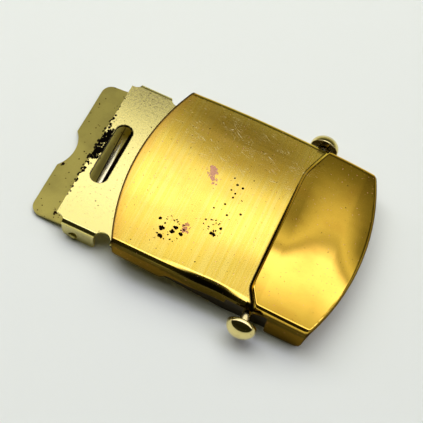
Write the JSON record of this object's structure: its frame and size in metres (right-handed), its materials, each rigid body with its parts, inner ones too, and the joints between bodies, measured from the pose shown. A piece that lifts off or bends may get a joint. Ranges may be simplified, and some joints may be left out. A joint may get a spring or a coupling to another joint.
{
  "type": "web belt buckle",
  "caption": "Brass box buckle for a web belt: arched sheet cover with a raised end field, toothed hinged clamp jaw, and a sliding bar with domed knobs.",
  "frame": {"origin": "on the base plane that the buckle lies on, under the middle of the cover", "axes": "+X along the belt towards the locking-bar end, +Y across the belt, +Z out of the face"},
  "size_m": [0.0639, 0.0482, 0.0096],
  "materials": {
    "face_brass": "polished, transversely brushed",
    "frame_brass": "satin, pale plated",
    "jaw_brass": "dull, aged",
    "bar_brass": "turned, fluted",
    "knob_brass": "polished"
  },
  "bodies": {
    "buckle_body": {"clamp_frame": "frame_brass", "cover_plate": "face_brass"},
    "jaw": {"clamp_jaw": "jaw_brass"},
    "bar": {"locking_bar": "bar_brass", "knob_near": "knob_brass", "knob_far": "knob_brass"}
  },
  "joints": [
    {"name": "jaw_hinge", "type": "hinge", "parent": "buckle_body", "child": "jaw", "pos_m": [-0.0296, 0, 0.00145], "axis": [0, 1, 0], "range_deg": [-80, 34]},
    {"name": "bar_slide", "type": "slide", "parent": "buckle_body", "child": "bar", "axis": [0.9703, 0, 0.2419], "range_m": [0, 0.0023]}
  ]
}
